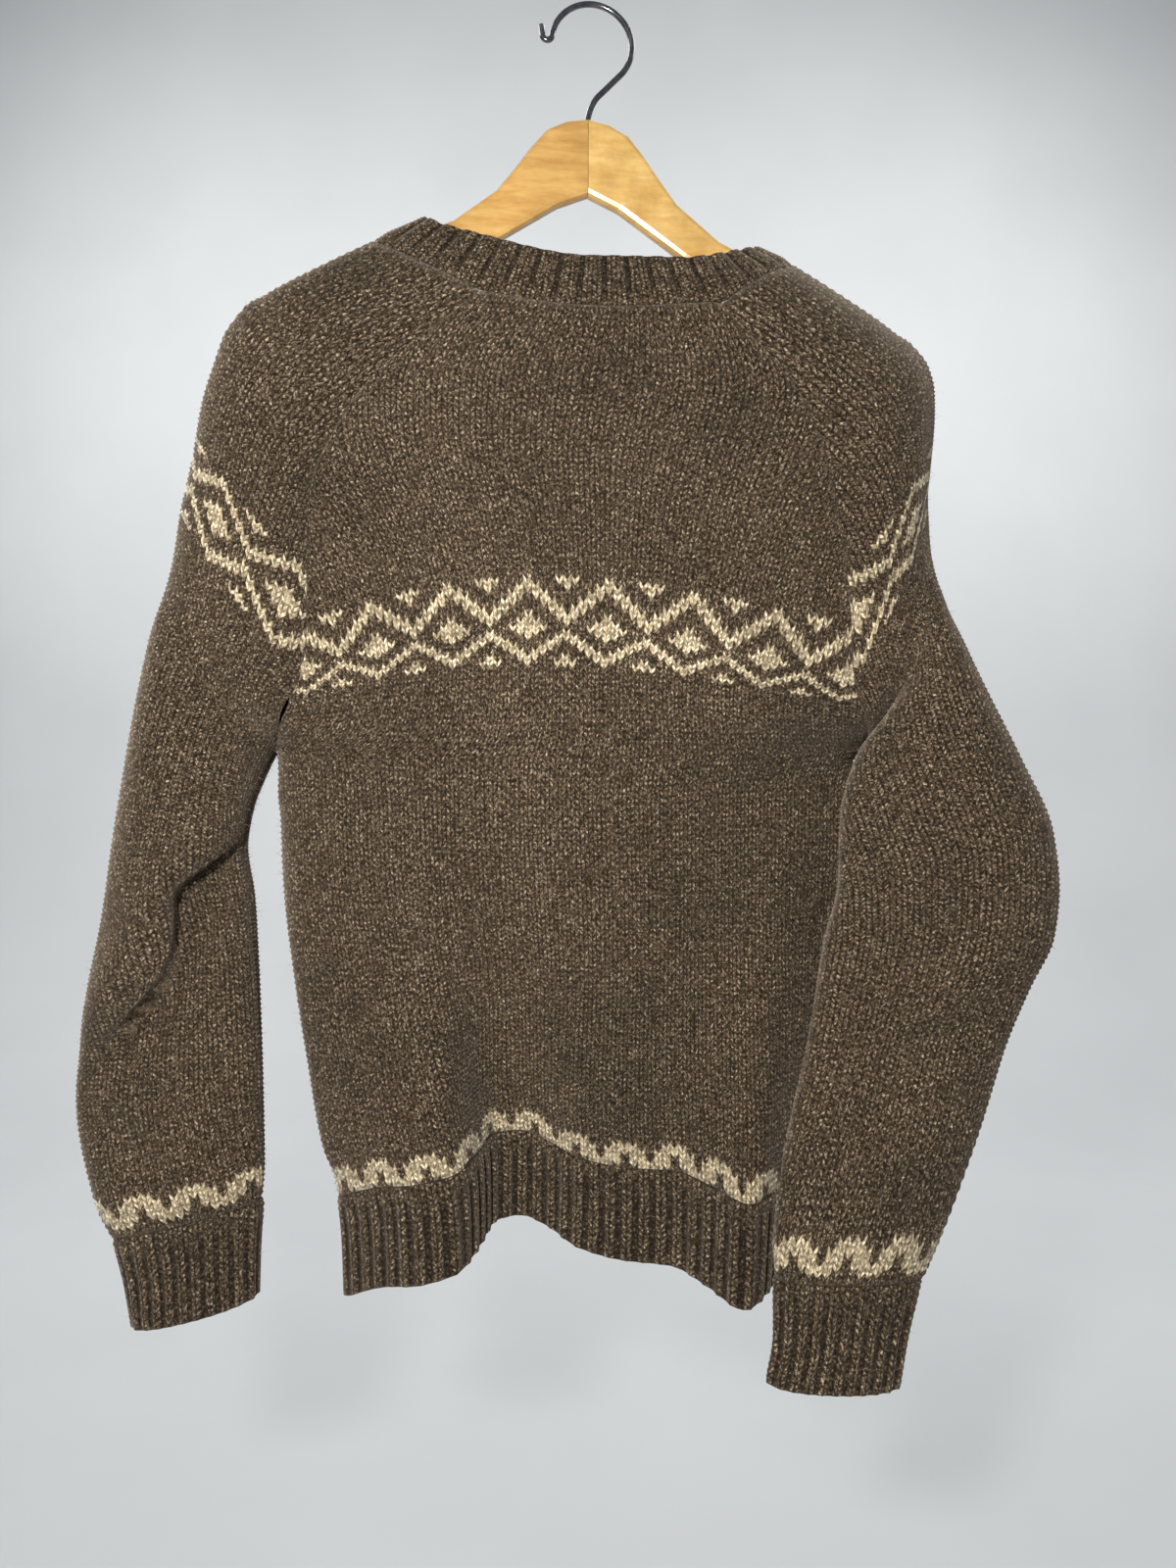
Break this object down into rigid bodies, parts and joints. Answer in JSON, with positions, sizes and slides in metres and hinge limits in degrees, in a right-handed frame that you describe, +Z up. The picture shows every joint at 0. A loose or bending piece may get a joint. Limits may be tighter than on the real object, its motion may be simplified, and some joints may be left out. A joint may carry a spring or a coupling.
{
  "type": "wool sweater on a wooden hanger",
  "caption": "Raglan crew-neck wool sweater with patterned bands and ribbed edges, hanging empty on a flat wooden hanger with a wire hook.",
  "frame": {"origin": "inside top of the hanger's hook, where a rod or wall hook carries it", "axes": "+Z up; -Y out from the wall, the way the sweater's back faces; +X to the right as the back is seen"},
  "size_m": [0.6101, 0.1526, 0.8721],
  "materials": {
    "wool": "hand-knitted heather brown wool in stocking stitch with a light nap, cream patterned bands",
    "hanger_wood": "honey-coloured lacquered wood",
    "hook_metal": "dark chromed steel wire"
  },
  "bodies": {
    "root": {"back": "wool", "front": "wool", "sleeve_left": "wool", "sleeve_right": "wool", "hem_rib_back": "wool", "hem_rib_front": "wool", "cuff_left": "wool", "cuff_right": "wool", "neckband": "wool", "hanger_arm_left": "hanger_wood", "hanger_arm_right": "hanger_wood", "hanger_hook": "hook_metal"}
  },
  "joints": []
}
